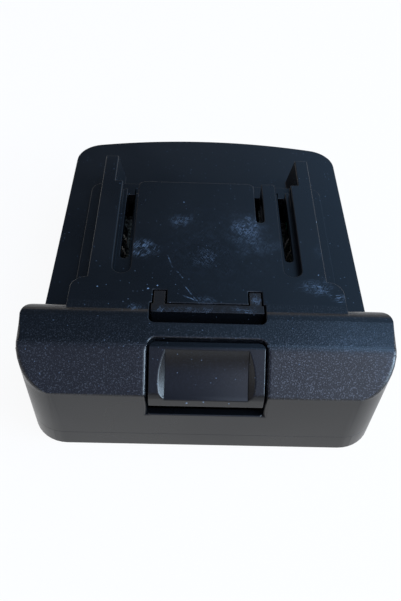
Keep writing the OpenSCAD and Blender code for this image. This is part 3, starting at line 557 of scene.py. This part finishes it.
# the mouldings with round edges: default width, and wider or narrower ones inside boxes, in mm
shellSet = {
    "upper_housing": {"piece": "upperShell", "body": "housing", "slot": "housing_plastic",
                      "finish": housingPlastic, "edge": 0.25, "steps": 4, "cuts": [],
                      "zones": [((-50, -51, 5.3), (50, 51, 5.7), 0.07),
                                ((-50, -34.1, 18), (-33, -27.5, 34), 0),
                                ((33, -34.1, 18), (50, -27.5, 34), 0),
                                ((-14.75, -41.1, 27.9), (-14.1, -40.42, 31), 0),
                                ((14.1, -41.1, 27.9), (14.75, -40.42, 31), 0),
                                ((-50, -51, 18), (-33, -27.5, 34), 1.2),
                                ((33, -51, 18), (50, -27.5, 34), 1.2),
                                ((-24.6, -17, 31.9), (-24.4, 19, 32.1), 0.45),
                                ((-17, -51, 13), (17, -38, 33), 0.35)]},
    "lower_housing": {"piece": "lowerShell", "body": "housing", "slot": "housing_plastic",
                      "finish": housingPlastic, "edge": 0.2, "steps": 3,
                      "cuts": [("x", 0), ("x", -36.125), ("x", 36.125), ("x", -38.24), ("x", 38.24),
                               ("y", 34), ("y", -39.25)],
                      "zones": [((-50, -51, 5.3), (50, 51, 5.7), 0.07)]},
    "release_latch": {"piece": "latchMoulding", "body": "latch", "slot": "latch_plastic",
                      "finish": latchPlastic, "edge": 0.25, "steps": 4, "cuts": [], "zones": []},
}

roundingSet = {
    "leastBend": 30,          # degrees, no edge flatter than this is rounded
    "wideFrom": 46,           # degrees of bend where a wide rounding starts
    "wideOver": 25,           # degrees more until it has its full width
    "wideTimes": 2,           # wide means more than this many default widths
    "hollowBehind": -29,      # hollow corners in front of this Y stay sharp, in mm
    "hollowShare": 0.5,
    "merge": 2e-6, "onCut": 4e-6,      # metres
    "flat": 0.5, "sharp": 40,          # degrees
    "areaWeight": 80,
}


def plainMesh(obj):
    bpy.context.view_layer.update()
    reach = bpy.context.evaluated_depsgraph_get()
    mesh = bpy.data.meshes.new_from_object(obj.evaluated_get(reach))
    obj.modifiers.clear()
    old = obj.data
    obj.data = mesh
    bpy.data.meshes.remove(old)


# round width of an edge by its place, its bend and whether it stands out or is a hollow corner
def edgeWidth(edge, s, r):
    if len(edge.link_faces) != 2:
        return 0.0
    bend = math.degrees(edge.calc_face_angle())
    low = [min(a, b) / mm for a, b in zip(*(v.co for v in edge.verts))]
    high = [max(a, b) / mm for a, b in zip(*(v.co for v in edge.verts))]
    width = s["edge"]
    for lowEnd, highEnd, zoneWidth in s["zones"]:
        if all(p <= a and b <= q for p, a, b, q in zip(lowEnd, low, high, highEnd)):
            width = zoneWidth
            break
    if not edge.is_convex:
        inFront = max(v.co.y for v in edge.verts) < r["hollowBehind"] * mm
        width = 0.0 if inFront else min(width, r["hollowShare"] * s["edge"])
    if width > r["wideTimes"] * s["edge"]:
        width *= min(max((bend - r["wideFrom"]) / r["wideOver"], 0.0), 1.0)
    return width if bend > r["leastBend"] else 0.0


# lines across the flat faces, so that none of them has a hole
def crossCuts(work, cuts, r):
    for axis, place in cuts:
        way = Vector((axis == "x", axis == "y", 0))
        geom = work.verts[:] + work.edges[:] + work.faces[:]
        bmesh.ops.bisect_plane(work, geom=geom, dist=r["merge"], plane_co=way * place * mm, plane_no=way)
        for edge in work.edges:
            if all(abs(v.co.dot(way) - place * mm) < r["onCut"] for v in edge.verts):
                edge.seam = True


def roundedShell(nodeName, s, r):
    mesh = nodes[nodeName].data.copy()
    mesh.name = s["piece"]
    work = bmesh.new()
    work.from_mesh(mesh)
    bmesh.ops.remove_doubles(work, verts=work.verts, dist=r["merge"])
    crossCuts(work, s["cuts"], r)
    bmesh.ops.dissolve_limit(work, angle_limit=math.radians(r["flat"]), verts=work.verts, edges=work.edges,
                             delimit={"SEAM"})
    widest = max([s["edge"]] + [zone[2] for zone in s["zones"]])
    weight = work.edges.layers.float.new("bevel_weight_edge")
    for edge in work.edges:
        edge[weight] = edgeWidth(edge, s, r) / widest
    before = work.calc_volume()
    work.to_mesh(mesh)
    work.free()
    mesh.materials.clear()
    mesh.materials.append(s["finish"])
    shell = bpy.data.objects.new(s["piece"], mesh)
    scene.collection.objects.link(shell)
    soft = shell.modifiers.new("edges", "BEVEL")
    soft.width = widest * mm
    soft.segments = s["steps"]
    soft.limit_method = "WEIGHT"
    soft.use_clamp_overlap = False
    soft.miter_outer = "MITER_ARC"
    plainMesh(shell)
    work = bmesh.new()
    work.from_mesh(shell.data)
    print("volume:", s["piece"], round(before * 1e9, 1), "to", round(work.calc_volume() * 1e9, 1), "mm3")
    work.free()
    shell.data.shade_smooth()
    shell.data.set_sharp_from_angle(angle=math.radians(r["sharp"]))
    even = shell.modifiers.new("evenShading", "WEIGHTED_NORMAL")
    even.keep_sharp = True
    even.weight = r["areaWeight"]
    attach(shell, s["body"])
    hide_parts(nodeName)
    return shell


for nodeName, s in shellSet.items():
    made = roundedShell(nodeName, s, roundingSet)
    print("shell:", made.name, len(made.data.polygons), "faces")

# latch springs, wound in Geometry Nodes
springSet = {
    "across": 6.0, "wire": 0.7, "turns": 7.0, "low": 2.2, "tall": 17.5, "pressed": 3.2,
    "sides": 10, "stepsPerTurn": 40, "finish": metals["springSteel"],
}


def springTree():
    tree = bpy.data.node_groups.new("woundSpring", "GeometryNodeTree")
    face = tree.interface
    face.new_socket("Geometry", in_out="OUTPUT", socket_type="NodeSocketGeometry")
    for name, kind in (("Turns", "NodeSocketFloat"), ("Radius", "NodeSocketFloat"),
                       ("Rise", "NodeSocketFloat"), ("Wire Radius", "NodeSocketFloat"),
                       ("Steps", "NodeSocketInt"), ("Sides", "NodeSocketInt"),
                       ("Place", "NodeSocketVector"), ("Finish", "NodeSocketMaterial")):
        face.new_socket(name, in_out="INPUT", socket_type=kind)
    given = add(tree, "NodeGroupInput").outputs
    path = add(tree, "GeometryNodeCurveSpiral", {"Resolution": given["Steps"], "Rotations": given["Turns"],
                                                 "Start Radius": given["Radius"],
                                                 "End Radius": given["Radius"], "Height": given["Rise"]})
    wire = add(tree, "GeometryNodeCurvePrimitiveCircle", {"Resolution": given["Sides"],
                                                          "Radius": given["Wire Radius"]})
    tube = add(tree, "GeometryNodeCurveToMesh", {"Curve": path.outputs[0], "Profile Curve": wire.outputs[0],
                                                 "Fill Caps": True})
    put = add(tree, "GeometryNodeTransform", {"Geometry": tube.outputs[0], "Translation": given["Place"]})
    real = add(tree, "GeometryNodeRealizeInstances", {"Geometry": put.outputs[0]})
    done = add(tree, "GeometryNodeSetMaterial", {"Geometry": real.outputs[0], "Material": given["Finish"]})
    out = add(tree, "NodeGroupOutput")
    tree.links.new(done.outputs[0], out.inputs[0])
    return tree


def woundSpring(name, nodeName, tree, s):
    low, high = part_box(nodeName)
    mesh = bpy.data.meshes.new(name)
    spring = bpy.data.objects.new(name, mesh)
    scene.collection.objects.link(spring)
    wound = spring.modifiers.new("wound", "NODES")
    wound.node_group = tree
    values = {"Turns": s["turns"], "Radius": (s["across"] - s["wire"]) / 2 * mm,
              "Rise": (high.z - low.z) - s["wire"] * mm, "Wire Radius": s["wire"] / 2 * mm,
              "Steps": s["stepsPerTurn"], "Sides": s["sides"],
              "Place": ((low.x + high.x) / 2, (low.y + high.y) / 2, low.z + s["wire"] / 2 * mm),
              "Finish": s["finish"]}
    for socket in tree.interface.items_tree:
        if socket.in_out == "INPUT":
            wound[socket.identifier] = values[socket.name]
    plainMesh(spring)
    spring.data.shade_smooth()
    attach(spring, "housing")
    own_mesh(spring)
    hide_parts(nodeName)
    return spring


coils = springTree()
for side in ("left", "right"):
    made = woundSpring(side + "LatchCoil", side + "_latch_spring", coils, springSet)
    print("spring:", made.name, len(made.data.polygons), "faces")

# finishes of the pieces that stay as the CAD made them
carriedFinish = {
    "terminal_board": laminate,
    "positive_clip": metals["clipMetal"], "negative_clip": metals["clipMetal"],
    "signal_contacts": metals["clipMetal"], "signal_connector": softs["carrierPlastic"],
    "blade_block": softs["blockPlastic"],
    "positive_blade": metals["contactBrass"], "negative_blade": metals["contactBrass"],
    "temperature_blade": metals["contactBrass"],
    "positive_lead": softs["leadRed"], "negative_lead": softs["leadBlack"],
    "temperature_lead": softs["leadWhite"],
    "board_screws": metals["screwSteel"], "block_screws": metals["screwSteel"],
    "housing_screws": metals["screwSteel"],
}

for name, finish in carriedFinish.items():
    nodes[name].data.materials.clear()
    nodes[name].data.materials.append(finish)
print("carried over:", len(carriedFinish), "CAD nodes with new finishes")
